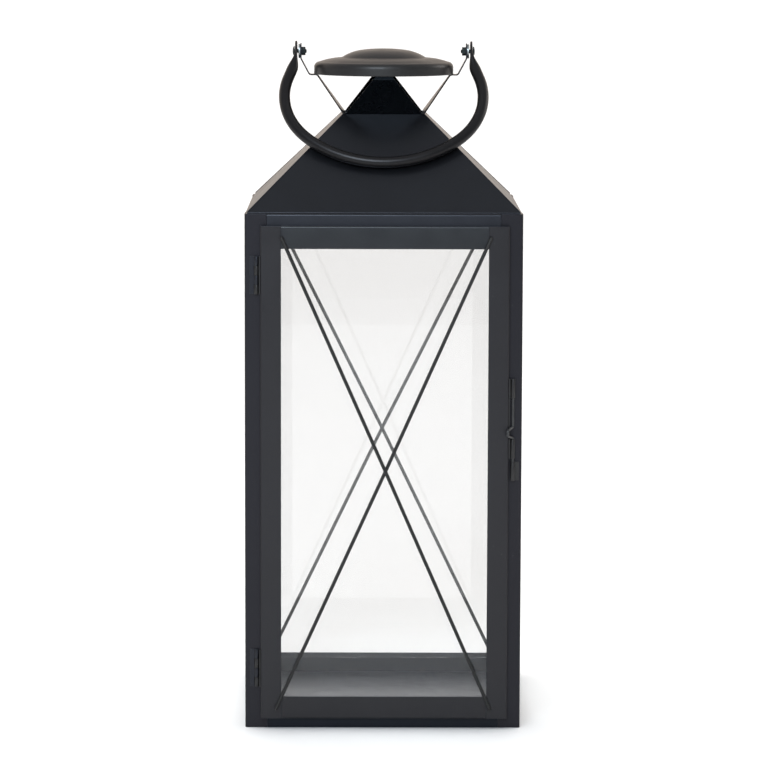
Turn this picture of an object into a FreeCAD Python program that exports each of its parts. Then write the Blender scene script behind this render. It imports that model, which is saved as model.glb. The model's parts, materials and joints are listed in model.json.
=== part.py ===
"""Square sheet-metal candle lantern with a hinged glass door, a vent cap and a tube bail.

Millimetres, +Z up. The origin is the centre of the floor panel's underside, the door faces -Y
and the hinges are on the -X side. Pieces of one side are drawn on the front and turned about Z.
"""
import FreeCAD, Part
import math
import os
from FreeCAD import Vector

# Body
BODY = 200.0             # outer width and depth of the square body
BODY_H = 375.0           # floor to eave
SHEET = 1.0              # steel sheet of posts, rails, door and roof
POST_W = 16.0            # leg of a corner post
RAIL_H = 16.0            # height of a top or bottom rail
RAIL_LIP = 8.0           # inward lip along the top of a top rail
FLOOR_T = 0.8
HALF = BODY / 2
MID_Z = BODY_H / 2

# Windows
GLASS_T = 2.0
GLASS_LAP = 3.0          # glass behind its frame, on every edge
CLIP_T = 0.6
CLIP_W = 8.0
CLIP_FOOT = 7.6
CLIP_ARM = 2.9
CLIP_EDGE_GAP = 0.4      # between the glass edge and the clip
CLIP_Z = 110.0           # clips above and below the window's middle
WIRE_R = 1.3
WIRE_SINK = 0.1          # the welded ends are pressed this far into a flat
WIRE_BOW = 0.65          # the two wires part this far, one each way, where they cross
WINDOW_END_X = 3.0       # wire end beyond the window's side
WINDOW_WIRE_Z = (13.5, 368.0)
WINDOW_CROSS = (0.0, 193.7)      # where the wires cross, a little above the middle
WIRE_ROOM = 3.2          # between the frame and the glass of a fixed window

# Door
DOOR_LEFT = -88.7
DOOR_RIGHT = 90.3
DOOR_LOW = 7.5
DOOR_HIGH = 366.5
DOOR_GAP = 0.8           # between the door's returns and the front posts
DOOR_DEPTH = 3.7         # depth of the folded returns
STILE_W = 15.0
DOOR_RAIL_H = 16.4
DOOR_WIRE_Z = (14.0, 359.2)
DOOR_WIRE_X = {"rising": (-78.0, 77.3), "falling": (78.3, -73.7)}    # low and high end
DOOR_CROSS = (1.6, 189.3)
DOOR_FACE = -(HALF + DOOR_GAP + DOOR_DEPTH)
DOOR_BACK = DOOR_FACE + SHEET
DOOR_X = (DOOR_LEFT + DOOR_RIGHT) / 2
DOOR_Z = (DOOR_LOW + DOOR_HIGH) / 2
DOOR_W = DOOR_RIGHT - DOOR_LEFT
DOOR_H = DOOR_HIGH - DOOR_LOW

# Hinges, each a fixed leaf on the post, a leaf on the door's side and a pin
HINGE_X = -91.4
HINGE_Y = -102.0
HINGE_LOWS = {"lower": 30.8, "upper": 317.2}
HINGE_LEN = 27.4
KNUCKLES = 4
KNUCKLE_R = 1.6
KNUCKLE_GAP = 0.3
PIN_R = 0.8
PIN_CLEARANCE = 0.06
LEAF_T = 0.8
LEAF_OUTER = -96.4       # far edge of the fixed leaf

# Latch: a vertical slide bolt in two sleeves on the door and a keeper on the post
LATCH_X = 93.3
LATCH_Y = -102.3
SLEEVE_R = 1.6
SLEEVE_BORE = 1.06
KEEPER_BORE = 1.15
KEEPER_Z = (182.5, 196.1)
LOWER_SLEEVE_Z = (198.8, 212.5)
UPPER_SLEEVE_Z = (242.5, 256.5)
KEEPER_OUTER = 98.0
GUIDE_FRONT = -104.3
GUIDE_RELIEF = -102.9    # the guide is narrower between its sleeves, to let the loop pass
GUIDE_BACK = -100.9
BOLT_R = 1.0
BOLT_Z = (184.0, 254.5)
LOOP_LOW = 213.6
LOOP_HIGH = 221.4
LOOP_SLANT = 1.8
LOOP_OUT = 7.2
LOOP_DIR = Vector(-0.53, -0.848, 0)
LOOP_BEND = 1.5

# Roof and neck
EAVE = 98.2              # half width of the roof at the eave
EAVE_EDGE = 0.8          # upright edge of the roof sheet at the eave
THROAT = 30.2            # half width of the roof at its opening
THROAT_Z = 443.0
TAB_T = 0.8
TAB_FOOT = 8.0           # length welded under the roof panel
TAB_W_LOW = 57.0
TAB_W_HIGH = 12.0
TAB_FLARE = 0.71         # outward run per unit of rise
STRAP_W = 12.0
STRAP_W_RIM = 12.4
TAB_BEND = 1.0           # radius of the middle of the sheet in the tabs' bends
STRAP_BEND = 2.4         # and in the straps' bends
STRAP_OUT = 3.4          # the strap turns up this far outside the cap
STRAP_BEND_DROP = 5.4    # its last bend, below the pivot
EAVE_Z = BODY_H + EAVE_EDGE
SLOPE = math.atan2(THROAT_Z - EAVE_Z, EAVE - THROAT)

# Cap
CAP_R = 51.5
CAP_T = 0.9
RIM_Z = 471.2
SHOULDER_R = 4.2
SHELF_EDGE = (47.6, 480.4)
SHELF_MID = (40.0, 482.5)
SHELF_IN = (31.4, 483.4)
CROWN_FOOT = (29.8, 484.4)
CROWN_SIDE = (24.4, 487.0)
CROWN_TOP_EDGE = (16.0, 489.1)
CROWN_TOP_MID = (10.0, 489.7)
CROWN_FLAT = (4.0, 490.0)    # edge of the flat middle
CROWN_TOP = CROWN_FLAT[1]

# Bail and its pivots
PIVOT_Z = 488.0
BAIL_R = 4.1
BAIL_HALF = 72.8         # half width at its widest, on the centreline
BAIL_WIDEST = 42.6       # drop from the pivots to the widest point
BAIL_DROP = 104.6        # drop from the pivots to the middle of the grip
BAIL_SIDE_R = 55.0
BAIL_ARC_TOP = 25.0      # drop where the side arc runs out into a straight leg
BAIL_LEG_TOP = 18.0      # drop where the flattening starts
BAIL_FLAT_TOP = 4.5      # drop where the end is fully flat
BAIL_REST_GAP = 0.35
FLAT_X = 64.8            # middle of the flattened end
FLAT_T = 1.8
FLAT_W = 12.4
FLAT_TIP = 1.8           # centre of the rounded tip above the pivot
SCREW_R = 1.5
BAIL_HOLE_R = 1.58
STRAP_HOLE_R = 1.6
HEAD_R = 3.65
HEAD_T = 1.5
HEAD_X = 65.9
STRAP_X = 61.2           # middle of the strap at the pivot
WASHER_R = 5.3
WASHER_T = 1.4
NUT_FLATS = 5.5
NUT_T = 2.9
SCREW_END = 57.0

MITRED = 1               # sweep mode that mitres a sharp corner

SIDES = {"front": 0, "right": 1, "back": 2, "left": -1}


def box(x0, x1, y0, y1, z0, z1):
    return Part.makeBox(x1 - x0, y1 - y0, z1 - z0, Vector(x0, y0, z0))


def turned(shape, side):
    """Turn a piece drawn on the front to another side of the square body."""
    copy = shape.copy()
    copy.rotate(Vector(0, 0, 0), Vector(0, 0, 1), 90 * SIDES[side])
    return copy


def mirrored(shape):
    """The same piece on the other side of the plane X = 0."""
    return shape.mirror(Vector(0, 0, 0), Vector(1, 0, 0))


def prism(points, direction):
    """Extrude a closed outline of 3-D points."""
    return Part.Face(Part.makePolygon(points + [points[0]])).extrude(direction)


def rod(radius, start, end):
    along = end - start
    return Part.makeCylinder(radius, along.Length, start, along)


def rounded_path(points, radius):
    """Straight runs through the points, joined by tangent arcs of one radius."""
    edges = []
    here = points[0]
    for before, corner, after in zip(points, points[1:], points[2:]):
        back = (before - corner).normalize()
        ahead = (after - corner).normalize()
        half_angle = back.getAngle(ahead) / 2
        reach = radius / math.tan(half_angle)
        middle = (back + ahead).normalize() * (radius / math.sin(half_angle) - radius)
        arc_start = corner + back * reach
        arc_end = corner + ahead * reach
        edges.append(Part.LineSegment(here, arc_start).toShape())
        edges.append(Part.Arc(arc_start, corner + middle, arc_end).toShape())
        here = arc_end
    edges.append(Part.LineSegment(here, points[-1]).toShape())
    return Part.Wire(edges)


def swept(path, profile):
    """Sweep a closed profile along a path."""
    return path.makePipeShell([profile], True, False)


def round_bar(path, radius):
    first = path.OrderedEdges[0]
    start = first.valueAt(first.FirstParameter)
    tangent = first.tangentAt(first.FirstParameter)
    circle = Part.makeCircle(radius, start, tangent)
    return swept(path, Part.Wire([circle]))


# Body frame


def corner_post():
    """Angle at the front left corner."""
    inner = -HALF + SHEET
    front_leg = box(-HALF, -HALF + POST_W, -HALF, inner, 0, BODY_H)
    side_leg = box(-HALF, inner, -HALF, -HALF + POST_W, 0, BODY_H)
    return front_leg.fuse(side_leg).removeSplitter()


def bottom_rail():
    reach = HALF - POST_W
    return box(-reach, reach, -HALF, -HALF + SHEET, 0, RAIL_H)


def top_rail():
    """Rail with a lip turned inwards, which the roof stands on. The lips meet in mitres behind the posts."""
    reach = HALF - POST_W
    outer = HALF - SHEET
    inner = HALF - RAIL_LIP
    web = box(-reach, reach, -HALF, -outer, BODY_H - RAIL_H, BODY_H)
    corners = [(-outer, -outer), (outer, -outer), (inner, -inner), (-inner, -inner)]
    lip = prism([Vector(x, y, BODY_H - SHEET) for x, y in corners], Vector(0, 0, SHEET))
    return web.fuse(lip).removeSplitter()


def floor_panel():
    reach = HALF - SHEET
    return box(-reach, reach, -reach, reach, 0, FLOOR_T)


def body_frame():
    nodes = {"floor_panel": floor_panel()}
    corners = {"front_left": "front", "front_right": "right", "back_right": "back", "back_left": "left"}
    for corner, side in corners.items():
        nodes["corner_post_" + corner] = turned(corner_post(), side)
    for side in SIDES:
        nodes["top_rail_" + side] = turned(top_rail(), side)
        nodes["bottom_rail_" + side] = turned(bottom_rail(), side)
    return nodes


# Windows: glass, clips and crossed wires


def glass_pane(half_w, half_h, centre_x, centre_z, front):
    x0 = centre_x - half_w - GLASS_LAP
    x1 = centre_x + half_w + GLASS_LAP
    return box(x0, x1, front, front + GLASS_T, centre_z - half_h - GLASS_LAP, centre_z + half_h + GLASS_LAP)


def glass_clip(edge, direction, backing, room, z):
    """Bent tab beside the glass edge: a foot on the frame, a riser and an arm over the glass."""
    riser = edge + direction * CLIP_EDGE_GAP
    over = backing + room + GLASS_T
    outline = [
        (riser + direction * CLIP_FOOT, backing),
        (riser, backing),
        (riser, over),
        (riser - direction * CLIP_ARM, over),
        (riser - direction * CLIP_ARM, over + CLIP_T),
        (riser + direction * CLIP_T, over + CLIP_T),
        (riser + direction * CLIP_T, backing + CLIP_T),
        (riser + direction * CLIP_FOOT, backing + CLIP_T),
    ]
    return prism([Vector(x, y, z - CLIP_W / 2) for x, y in outline], Vector(0, 0, CLIP_W))


def glass_clips(half_w, centre_x, centre_z, backing, room):
    clips = []
    for direction in (-1, 1):
        edge = centre_x + direction * (half_w + GLASS_LAP)
        for rise in (-CLIP_Z, CLIP_Z):
            clips.append(glass_clip(edge, direction, backing, room, centre_z + rise))
    return Part.Compound(clips)


def wire(low, middle, high):
    """Round wire through three points."""
    path = Part.makePolygon([low, middle, high])
    circle = Part.Wire([Part.makeCircle(WIRE_R, low, middle - low)])
    return path.makePipeShell([circle], True, False, MITRED)


def crossed_wires(x_ends, z_ends, y, crossing, frame):
    """The rising and the falling wire, seated on the frame and notched where they cross."""
    wires = []
    for kind, bow in (("rising", WIRE_BOW), ("falling", -WIRE_BOW)):
        low, high = [Vector(x, y, z) for x, z in zip(x_ends[kind], z_ends)]
        wires.append(wire(low, Vector(crossing[0], y + bow, crossing[1]), high).cut(frame))
    rising, falling = wires
    return rising, falling.cut(rising)


def flat_frame(x0, x1, z0, z1, side_w, rail_h, face):
    """The flat face of a window frame, as one ring."""
    outer = box(x0, x1, face, face + SHEET, z0, z1)
    return outer.cut(box(x0 + side_w, x1 - side_w, face, face + SHEET, z0 + rail_h, z1 - rail_h))


def window_wires():
    """Both wires of a fixed window on the front side of the body, welded on behind its frame."""
    end = HALF - POST_W + WINDOW_END_X
    x_ends = {"rising": (-end, end), "falling": (end, -end)}
    y = -HALF + SHEET + WIRE_R - WIRE_SINK
    frame = flat_frame(-HALF, HALF, 0, BODY_H, POST_W, RAIL_H, -HALF)
    return crossed_wires(x_ends, WINDOW_WIRE_Z, y, WINDOW_CROSS, frame)


def windows():
    nodes = {}
    half_w = HALF - POST_W
    half_h = MID_Z - RAIL_H
    backing = -HALF + SHEET
    pane = glass_pane(half_w, half_h, 0, MID_Z, backing + WIRE_ROOM)
    clips = glass_clips(half_w, 0, MID_Z, backing, WIRE_ROOM)
    rising, falling = window_wires()
    for side in ("right", "back", "left"):
        nodes["window_glass_" + side] = turned(pane, side)
        nodes["glass_clips_" + side] = turned(clips, side)
        nodes["window_wire_rising_" + side] = turned(rising, side)
        nodes["window_wire_falling_" + side] = turned(falling, side)
    return nodes


# Door


def door_stile(left, right, outer):
    """Full-height strip with a return folded back along its outer edge."""
    face = box(left, right, DOOR_FACE, DOOR_BACK, DOOR_LOW, DOOR_HIGH)
    fold = outer if outer == left else outer - SHEET
    side = box(fold, fold + SHEET, DOOR_FACE, DOOR_FACE + DOOR_DEPTH, DOOR_LOW, DOOR_HIGH)
    return face.fuse(side).removeSplitter()


def door_rail(low, high, outer):
    """Strip between the stiles with a return folded back along its outer edge."""
    left = DOOR_LEFT + STILE_W
    right = DOOR_RIGHT - STILE_W
    face = box(left, right, DOOR_FACE, DOOR_BACK, low, high)
    fold = outer if outer == low else outer - SHEET
    edge = box(left, right, DOOR_FACE, DOOR_FACE + DOOR_DEPTH, fold, fold + SHEET)
    return face.fuse(edge).removeSplitter()


def door_wires():
    """Both wires of the door, welded on its face."""
    y = DOOR_FACE - WIRE_R + WIRE_SINK
    frame = flat_frame(DOOR_LEFT, DOOR_RIGHT, DOOR_LOW, DOOR_HIGH, STILE_W, DOOR_RAIL_H, DOOR_FACE)
    return crossed_wires(DOOR_WIRE_X, DOOR_WIRE_Z, y, DOOR_CROSS, frame)


def door():
    half_w = DOOR_W / 2 - STILE_W
    half_h = DOOR_H / 2 - DOOR_RAIL_H
    rising, falling = door_wires()
    return {
        "door_stile_left": door_stile(DOOR_LEFT, DOOR_LEFT + STILE_W, DOOR_LEFT),
        "door_stile_right": door_stile(DOOR_RIGHT - STILE_W, DOOR_RIGHT, DOOR_RIGHT),
        "door_rail_bottom": door_rail(DOOR_LOW, DOOR_LOW + DOOR_RAIL_H, DOOR_LOW),
        "door_rail_top": door_rail(DOOR_HIGH - DOOR_RAIL_H, DOOR_HIGH, DOOR_HIGH),
        "door_glass": glass_pane(half_w, half_h, DOOR_X, DOOR_Z, DOOR_BACK),
        "door_glass_clips": glass_clips(half_w, DOOR_X, DOOR_Z, DOOR_BACK, 0),
        "door_wire_rising": rising,
        "door_wire_falling": falling,
    }


# Hinges


def knuckle_span(index, low):
    pitch = HINGE_LEN / KNUCKLES
    return low + index * pitch + KNUCKLE_GAP / 2, low + (index + 1) * pitch - KNUCKLE_GAP / 2


def knuckle(span, bore, wrap):
    """Rolled barrel with the stretch of sheet that joins it to its leaf."""
    z0, z1 = span
    barrel = rod(KNUCKLE_R, Vector(HINGE_X, HINGE_Y, z0), Vector(HINGE_X, HINGE_Y, z1))
    x0, x1, y0, y1 = wrap
    joined = barrel.fuse(box(x0, x1, y0, y1, z0, z1))
    return joined.cut(rod(bore, Vector(HINGE_X, HINGE_Y, z0), Vector(HINGE_X, HINGE_Y, z1)))


def fixed_leaf(low):
    """Leaf on the front post with the first and third knuckle from the bottom."""
    inner = HINGE_X - KNUCKLE_R - KNUCKLE_GAP
    leaf = box(LEAF_OUTER, inner, -HALF - LEAF_T, -HALF, low, low + HINGE_LEN)
    wrap = (inner, HINGE_X, -HALF - LEAF_T, -HALF)
    for index in (1, 3):
        leaf = leaf.fuse(knuckle(knuckle_span(index, low), PIN_R, wrap))
    return leaf.removeSplitter()


def door_leaf(low):
    """Leaf on the door's side return with the other two knuckles."""
    back = DOOR_FACE + DOOR_DEPTH - 0.1
    leaf = box(DOOR_LEFT - LEAF_T, DOOR_LEFT, DOOR_FACE + 0.2, back, low, low + HINGE_LEN)
    wrap = (HINGE_X, DOOR_LEFT - LEAF_T, HINGE_Y + KNUCKLE_R - LEAF_T, HINGE_Y + KNUCKLE_R)
    for index in (0, 2):
        leaf = leaf.fuse(knuckle(knuckle_span(index, low), PIN_R + PIN_CLEARANCE, wrap))
    return leaf.removeSplitter()


def hinges():
    nodes = {}
    pins = []
    for name, low in HINGE_LOWS.items():
        nodes["hinge_leaf_fixed_" + name] = fixed_leaf(low)
        nodes["hinge_leaf_door_" + name] = door_leaf(low)
        pins.append(rod(PIN_R, Vector(HINGE_X, HINGE_Y, low), Vector(HINGE_X, HINGE_Y, low + HINGE_LEN)))
    nodes["hinge_pins"] = Part.Compound(pins)
    return nodes


# Latch


def sleeve(span, bore, wrap):
    """Rolled sleeve around the bolt with the sheet that joins it to its plate."""
    z0, z1 = span
    x0, x1, y0, y1 = wrap
    barrel = rod(SLEEVE_R, Vector(LATCH_X, LATCH_Y, z0), Vector(LATCH_X, LATCH_Y, z1))
    joined = barrel.fuse(box(x0, x1, y0, y1, z0, z1))
    return joined.cut(rod(bore, Vector(LATCH_X, LATCH_Y, z0), Vector(LATCH_X, LATCH_Y, z1)))


def latch_guide():
    """Plate on the door's side return that carries both sleeves."""
    left = DOOR_RIGHT
    right = DOOR_RIGHT + LEAF_T
    low = LOWER_SLEEVE_Z[0]
    high = UPPER_SLEEVE_Z[1]
    plate = box(left, right, GUIDE_RELIEF, GUIDE_BACK, low, high)
    wrap = (right, LATCH_X, LATCH_Y + SLEEVE_R - LEAF_T, LATCH_Y + SLEEVE_R)
    for z0, z1 in (LOWER_SLEEVE_Z, UPPER_SLEEVE_Z):
        plate = plate.fuse(box(left, right, GUIDE_FRONT, GUIDE_BACK, z0, z1))
        plate = plate.fuse(sleeve((z0, z1), SLEEVE_BORE, wrap))
    return plate.removeSplitter()


def latch_keeper():
    """Plate on the right front post with the sleeve that catches the bolt."""
    z0, z1 = KEEPER_Z
    plate = box(LATCH_X, KEEPER_OUTER, -HALF - LEAF_T, -HALF, z0, z1)
    wrap = (LATCH_X, LATCH_X + SLEEVE_R, -HALF - LEAF_T, -HALF)
    return plate.fuse(sleeve(KEEPER_Z, KEEPER_BORE, wrap)).removeSplitter()


def latch_bolt():
    """Slide bolt bent from one wire, with a C-shaped finger loop that rests on the lower sleeve."""
    out = LOOP_DIR * LOOP_OUT
    axis = Vector(LATCH_X, LATCH_Y, 0)
    points = [
        axis + Vector(0, 0, BOLT_Z[0]),
        axis + Vector(0, 0, LOOP_LOW),
        axis + out + Vector(0, 0, LOOP_LOW + LOOP_SLANT),
        axis + out + Vector(0, 0, LOOP_HIGH - LOOP_SLANT),
        axis + Vector(0, 0, LOOP_HIGH),
        axis + Vector(0, 0, BOLT_Z[1]),
    ]
    return round_bar(rounded_path(points, LOOP_BEND), BOLT_R)


# Roof, neck and cap


def roof_panel():
    """Sloping sheet from the eave to the roof opening, mitred along both hips."""
    inward = Vector(0, math.sin(SLOPE), -math.cos(SLOPE)) * SHEET
    foot_w = SHEET / math.sin(SLOPE) - EAVE_EDGE / math.tan(SLOPE)
    outline = [
        Vector(-HALF, -EAVE, BODY_H),
        Vector(-HALF, -EAVE, EAVE_Z),
        Vector(-HALF, -THROAT, THROAT_Z),
        Vector(-HALF, -THROAT, THROAT_Z) + inward,
        Vector(-HALF, -EAVE + foot_w, BODY_H),
    ]
    slab = prism(outline, Vector(BODY, 0, 0))
    wedge = prism([Vector(0, 0, 0), Vector(-BODY, -BODY, 0), Vector(BODY, -BODY, 0)], Vector(0, 0, BODY_H * 2))
    return slab.common(wedge)


def neck_foot():
    """The two middle-of-sheet points under the roof panel: the foot's end and its bend."""
    under = SHEET + TAB_T / 2
    foot_line = THROAT - under / math.sin(SLOPE)
    flare_line = THROAT - SHEET * math.sin(SLOPE) - TAB_T / 2 * math.hypot(1, TAB_FLARE)
    flare_start = THROAT_Z - SHEET * math.cos(SLOPE)
    run = 1 / math.tan(SLOPE)
    # foot: y = foot_line - run * (z - THROAT_Z), flare: y = flare_line + TAB_FLARE * (z - flare_start)
    z = (foot_line + run * THROAT_Z - flare_line + TAB_FLARE * flare_start) / (TAB_FLARE + run)
    bend = (flare_line + TAB_FLARE * (z - flare_start), z)
    end = (bend[0] + TAB_FOOT * math.cos(SLOPE), bend[1] - TAB_FOOT * math.sin(SLOPE))
    return end, bend


def bent_sheet(points, width, radius):
    """Sheet strip on the front side whose middle follows (distance from centre, height) points."""
    path = rounded_path([Vector(0, -out, z) for out, z in points], radius)
    start = path.OrderedEdges[0].valueAt(path.OrderedEdges[0].FirstParameter)
    along = path.OrderedEdges[0].tangentAt(path.OrderedEdges[0].FirstParameter)
    across = Vector(width / 2, 0, 0)
    thick = along.cross(Vector(1, 0, 0)).normalize() * (TAB_T / 2)
    corners = [start - across - thick, start + across - thick, start + across + thick, start - across + thick]
    return swept(path, Part.makePolygon(corners + [corners[0]]))


def tab_outline(rim_width, top_z):
    """Taper from the roof opening to the cap rim, seen from the front."""
    low = TAB_W_LOW / 2
    high = rim_width / 2
    foot_z = neck_foot()[0][1] - TAB_T
    profile = [(-low, foot_z), (low, foot_z), (low, THROAT_Z), (high, RIM_Z)]
    profile += [(high, top_z), (-high, top_z), (-high, RIM_Z), (-low, THROAT_Z)]
    return prism([Vector(x, -HALF, z) for x, z in profile], Vector(0, HALF, 0))


def neck_tab(cap):
    """Tab from the roof opening up to a foot that is welded under the cap's shelf."""
    end, bend = neck_foot()
    knee_z = RIM_Z - 2.0
    knee = (bend[0] + TAB_FLARE * (knee_z - bend[1]), knee_z)
    shoulder = (knee[0] + 0.4, SHELF_EDGE[1] - CAP_T - 0.6)
    weld = (SHELF_MID[0] - 2.0, SHELF_MID[1] - CAP_T - TAB_T / 2)
    sheet = bent_sheet([end, bend, knee, shoulder, weld], TAB_W_LOW, TAB_BEND)
    return sheet.common(tab_outline(TAB_W_HIGH, CROWN_TOP)).cut(cap).cut(roof_panel())


def bail_strap():
    """Tab on the front side that passes under the rim, bends up and ends at the bail's pivot."""
    end, bend = neck_foot()
    under_rim = RIM_Z - TAB_T / 2
    inner = (bend[0] + TAB_FLARE * (under_rim - bend[1]), under_rim)
    outer = (CAP_R + STRAP_OUT, under_rim)
    rise_top = PIVOT_Z - STRAP_BEND_DROP
    top = PIVOT_Z + STRAP_W
    path = [end, bend, inner, outer, (STRAP_X, rise_top), (STRAP_X, top)]
    sheet = bent_sheet(path, TAB_W_LOW, STRAP_BEND)
    outline = tab_outline(STRAP_W_RIM, RIM_Z + 1.0)
    shank = box(-STRAP_W / 2, STRAP_W / 2, -HALF, 0, RIM_Z, PIVOT_Z)
    tip = rod(STRAP_W / 2, Vector(0, -HALF, PIVOT_Z), Vector(0, 0, PIVOT_Z))
    hole = rod(STRAP_HOLE_R, Vector(0, -HALF, PIVOT_Z), Vector(0, 0, PIVOT_Z))
    return sheet.common(outline.fuse(shank).fuse(tip)).cut(hole).cut(roof_panel())


def arc(a, b, c):
    return Part.Arc(Vector(a[0], 0, a[1]), Vector(b[0], 0, b[1]), Vector(c[0], 0, c[1])).toShape()


def line(a, b):
    return Part.LineSegment(Vector(a[0], 0, a[1]), Vector(b[0], 0, b[1])).toShape()


def cap_form(skin):
    """Solid of the cap's outer form, or of its hollow when skin is the sheet's thickness."""
    def drop(point):
        return point[0], point[1] - skin

    radius = CAP_R - skin
    shelf_edge = (SHELF_EDGE[0] - skin / 2, SHELF_EDGE[1] - skin)
    skirt_top = (radius, SHELF_EDGE[1] - SHOULDER_R - skin)
    bulge = (radius - SHOULDER_R * 0.26, shelf_edge[1] - SHOULDER_R * 0.3)
    rim = (radius, RIM_Z)
    centre = (0, RIM_Z)
    top = (0, CROWN_TOP - skin)
    edges = [
        line(centre, rim),
        line(rim, skirt_top),
        arc(skirt_top, bulge, shelf_edge),
        arc(shelf_edge, drop(SHELF_MID), drop(SHELF_IN)),
        line(drop(SHELF_IN), drop(CROWN_FOOT)),
        arc(drop(CROWN_FOOT), drop(CROWN_SIDE), drop(CROWN_TOP_EDGE)),
        arc(drop(CROWN_TOP_EDGE), drop(CROWN_TOP_MID), drop(CROWN_FLAT)),
        line(drop(CROWN_FLAT), top),
        line(top, centre),
    ]
    return Part.Face(Part.Wire(edges)).revolve(Vector(0, 0, 0), Vector(0, 0, 1), 360)


def roof_and_cap():
    cap = cap_form(0).cut(cap_form(CAP_T))
    nodes = {"vent_cap": cap}
    for side in SIDES:
        nodes["roof_panel_" + side] = turned(roof_panel(), side)
    for side in ("front", "back"):
        nodes["neck_tab_" + side] = turned(neck_tab(cap), side)
    for side in ("right", "left"):
        nodes["bail_strap_" + side] = turned(bail_strap(), side)
    return nodes


# Bail and pivots, drawn with the pivot axis along X


def bail_lean():
    """Angle from hanging straight down to leaning on the front roof panel."""
    offset = BAIL_R + BAIL_REST_GAP + math.sin(SLOPE) * EAVE - math.cos(SLOPE) * (PIVOT_Z - EAVE_Z)
    return math.acos(-offset / BAIL_DROP) - SLOPE


def bail_path():
    """Centreline of the round stretch: leg, side arc, grip arc, side arc, leg."""
    low = BAIL_DROP - BAIL_WIDEST
    grip_r = (BAIL_HALF**2 + low**2 - 2 * BAIL_HALF * BAIL_SIDE_R) / (2 * (low - BAIL_SIDE_R))
    side = Vector(BAIL_HALF - BAIL_SIDE_R, 0, -BAIL_WIDEST)
    grip = Vector(0, 0, grip_r - BAIL_DROP)
    outward = (side - grip).normalize()
    join = grip + Vector(outward.x, 0, -abs(outward.z)) * grip_r
    rise = BAIL_WIDEST - BAIL_ARC_TOP
    arc_top = side + Vector(math.sqrt(BAIL_SIDE_R**2 - rise**2), 0, rise)
    widest = side + Vector(BAIL_SIDE_R, 0, 0)
    inward = Vector(-rise, 0, arc_top.x - side.x).normalize()
    leg_top = arc_top + inward * ((BAIL_ARC_TOP - BAIL_LEG_TOP) / inward.z)

    def left(point):
        return Vector(-point.x, 0, point.z)

    edges = [
        Part.LineSegment(left(leg_top), left(arc_top)).toShape(),
        Part.Arc(left(arc_top), left(widest), left(join)).toShape(),
        Part.Arc(left(join), Vector(0, 0, -BAIL_DROP), join).toShape(),
        Part.Arc(join, widest, arc_top).toShape(),
        Part.LineSegment(arc_top, leg_top).toShape(),
    ]
    return Part.Wire(edges), leg_top, inward


def bail_end(leg_top, inward):
    """Right end of the tube, flattened, drilled and rounded around the pivot."""
    circle = Part.Wire([Part.makeCircle(BAIL_R, leg_top, inward)])
    edge = Vector(FLAT_X, FLAT_W / 2, -BAIL_FLAT_TOP)
    side = Vector(FLAT_X + FLAT_T / 2, 0, -BAIL_FLAT_TOP)
    flat = Part.Ellipse(edge, side, Vector(FLAT_X, 0, -BAIL_FLAT_TOP))
    neck = Part.makeLoft([circle, Part.Wire([flat.toShape()])], True)
    x0 = FLAT_X - FLAT_T / 2
    x1 = FLAT_X + FLAT_T / 2
    plate = box(x0, x1, -FLAT_W / 2, FLAT_W / 2, -BAIL_FLAT_TOP - 1.0, FLAT_TIP)
    tip = rod(FLAT_W / 2, Vector(x0, 0, FLAT_TIP), Vector(x1, 0, FLAT_TIP))
    hole = rod(BAIL_HOLE_R, Vector(x0, 0, 0), Vector(x1, 0, 0))
    return neck.fuse(plate).fuse(tip).cut(hole)


def bail():
    path, leg_top, inward = bail_path()
    end = bail_end(leg_top, inward)
    whole = round_bar(path, BAIL_R).fuse(end).fuse(mirrored(end))
    whole.rotate(Vector(0, 0, 0), Vector(1, 0, 0), -math.degrees(bail_lean()))
    whole.translate(Vector(0, 0, PIVOT_Z))
    return whole


def pivot_screw():
    """Right pivot screw: a domed head outside the bail and a shank that ends in the nut."""
    dome_r = (HEAD_R**2 + HEAD_T**2) / (2 * HEAD_T)
    dome = Part.makeSphere(dome_r, Vector(HEAD_X + HEAD_T - dome_r, 0, PIVOT_Z))
    head = dome.common(rod(HEAD_R, Vector(HEAD_X, 0, PIVOT_Z), Vector(HEAD_X + HEAD_T, 0, PIVOT_Z)))
    return head.fuse(rod(SCREW_R, Vector(SCREW_END, 0, PIVOT_Z), Vector(HEAD_X, 0, PIVOT_Z)))


def pivot_washer():
    x0 = STRAP_X + TAB_T / 2
    start = Vector(x0, 0, PIVOT_Z)
    end = Vector(x0 + WASHER_T, 0, PIVOT_Z)
    return rod(WASHER_R, start, end).cut(rod(STRAP_HOLE_R, start, end))


def pivot_nut():
    x1 = STRAP_X - TAB_T / 2
    corner = NUT_FLATS / math.sqrt(3)
    corners = []
    for turn in range(6):
        angle = math.radians(60 * turn)
        corners.append(Vector(x1 - NUT_T, corner * math.sin(angle), PIVOT_Z + corner * math.cos(angle)))
    bore = rod(SCREW_R, Vector(x1 - NUT_T, 0, PIVOT_Z), Vector(x1, 0, PIVOT_Z))
    return prism(corners, Vector(NUT_T, 0, 0)).cut(bore)


def pivots():
    nodes = {}
    for name, piece in (("screws", pivot_screw()), ("washers", pivot_washer()), ("nuts", pivot_nut())):
        nodes["pivot_" + name] = Part.Compound([piece, mirrored(piece)])
    return nodes


def main():
    nodes = {}
    nodes.update(body_frame())
    nodes.update(windows())
    nodes.update(door())
    nodes.update(hinges())
    nodes.update({"latch_guide": latch_guide(), "latch_keeper": latch_keeper(), "latch_bolt": latch_bolt()})
    nodes.update(roof_and_cap())
    nodes.update(pivots())
    nodes["bail"] = bail()
    os.makedirs("parts", exist_ok=True)
    for name, shape in nodes.items():
        shape.exportStep("parts/" + name + ".step")
        print(name, len(shape.Solids), round(shape.Volume, 1), shape.isValid())


main()
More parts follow.
